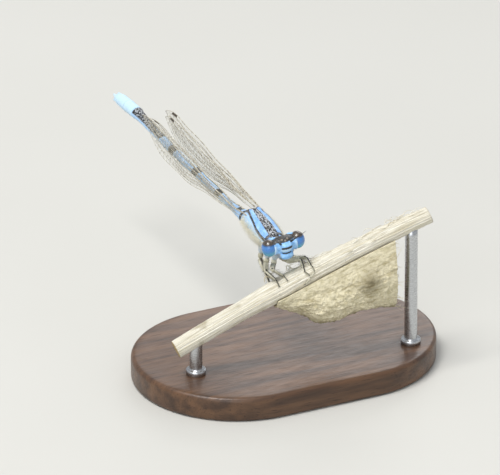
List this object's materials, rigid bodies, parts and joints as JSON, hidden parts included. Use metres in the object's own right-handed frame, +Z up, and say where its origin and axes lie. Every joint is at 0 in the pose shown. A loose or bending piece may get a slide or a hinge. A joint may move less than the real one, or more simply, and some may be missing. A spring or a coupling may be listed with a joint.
{
  "type": "damselfly model on a stem and display stand",
  "caption": "Life-size still model of a male blue damselfly that grips a short dry stem, held by two rods on a flat base.",
  "frame": {"origin": "middle of the flat underside of the stand's base", "axes": "+Z up, the abdomen points along +Y and the head along -Y, the animal's left side is +X"},
  "size_m": [0.027, 0.0391, 0.015],
  "materials": {
    "body_blue": "satin cuticle, azure blue with black stripes",
    "face_blue": "satin cuticle, sky blue with black bands",
    "eye": "glossy, blue with a black cap",
    "dark_cuticle": "satin black",
    "leg": "satin grey-tan with a black stripe",
    "wing": "clear film with raised veins",
    "straw": "dry, fibrous, pale straw",
    "husk": "dry, crumpled leaf sheath",
    "walnut": "dark wood, waxed",
    "steel": "brushed"
  },
  "bodies": {
    "root": {"head": "face_blue", "labrum": "face_blue", "eye_left": "eye", "eye_right": "eye", "antenna_left": "dark_cuticle", "antenna_right": "dark_cuticle", "prothorax": "dark_cuticle", "thorax": "body_blue", "abdomen_base": "body_blue", "abdomen_middle": "body_blue", "abdomen_rear": "body_blue", "abdomen_tip": "body_blue", "perch_stem": "straw", "perch_sheath": "husk", "stand_base": "walnut", "stand_rod_low": "steel", "stand_rod_high": "steel", "forewing_left": "wing", "hindwing_left": "wing", "foreleg_left": "leg", "midleg_left": "leg", "hindleg_left": "leg", "forewing_right": "wing", "hindwing_right": "wing", "foreleg_right": "leg", "midleg_right": "leg", "hindleg_right": "leg"}
  },
  "joints": []
}
